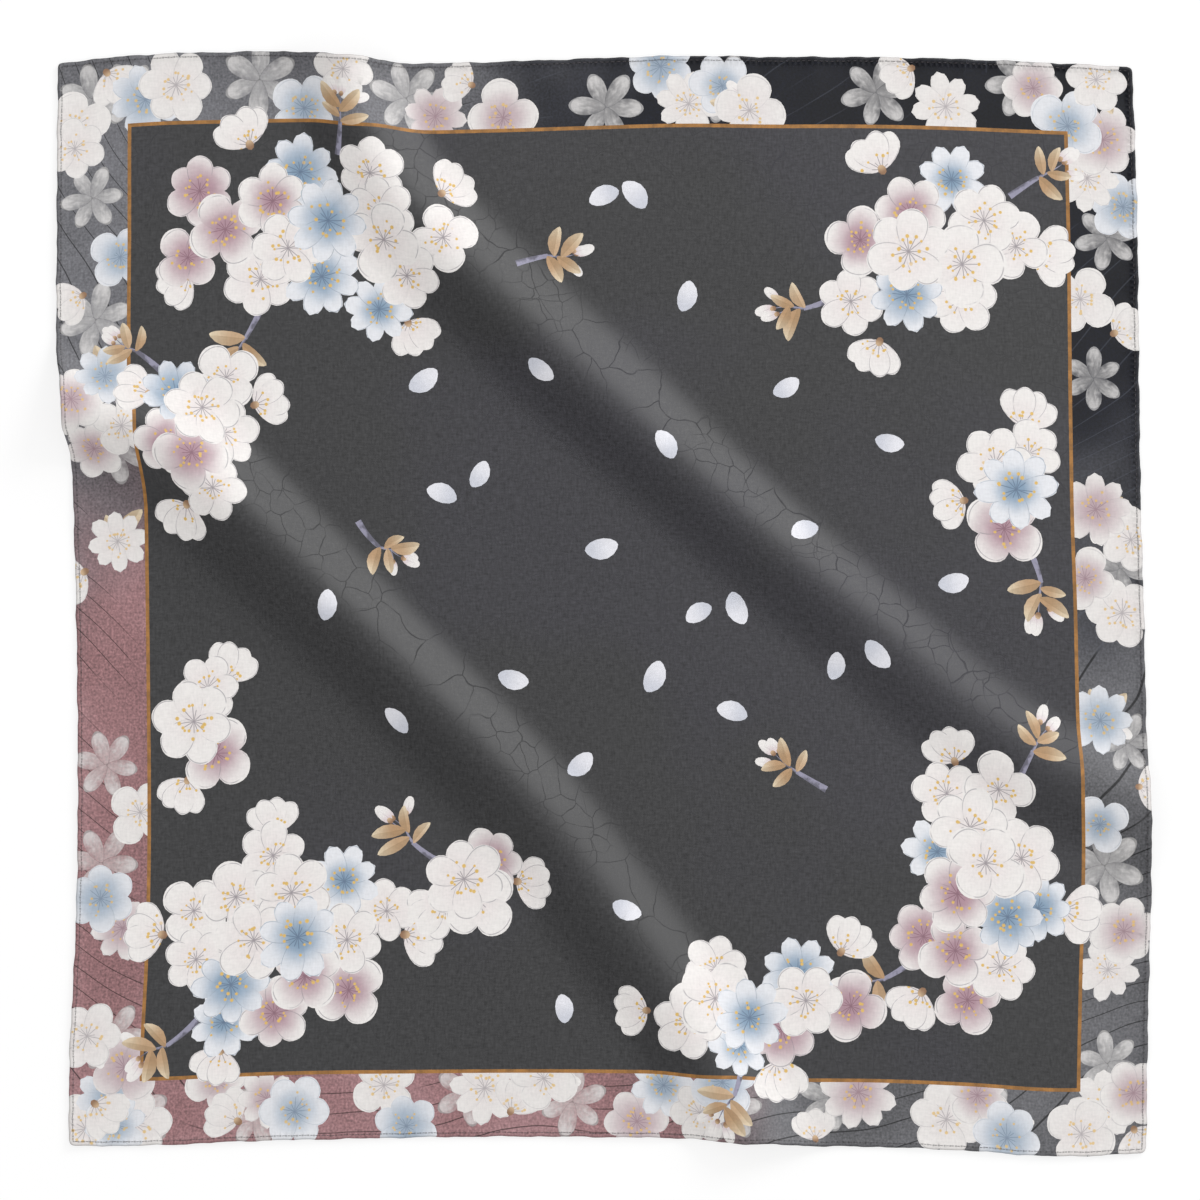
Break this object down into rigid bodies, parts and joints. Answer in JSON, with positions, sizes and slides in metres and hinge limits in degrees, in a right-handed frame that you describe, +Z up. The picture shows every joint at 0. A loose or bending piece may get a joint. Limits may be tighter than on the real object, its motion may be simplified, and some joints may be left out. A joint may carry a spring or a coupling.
{
  "type": "printed cotton handkerchief",
  "caption": "Square printed cotton handkerchief with a narrow turned hem, opened out face up on a flat surface with two soft diagonal ridges.",
  "frame": {"origin": "under the middle of the cloth, on the surface that it lies on", "axes": "+Z up out of the printed face, +X to the right and +Y away from the viewer, seen with the print the right way up"},
  "size_m": [0.4818, 0.486, 0.0167],
  "materials": {
    "cotton_print": "fine plain-woven cotton lawn, matt, printed with flowers on charcoal"
  },
  "bodies": {
    "root": {"handkerchief_cloth": "cotton_print"}
  },
  "joints": []
}
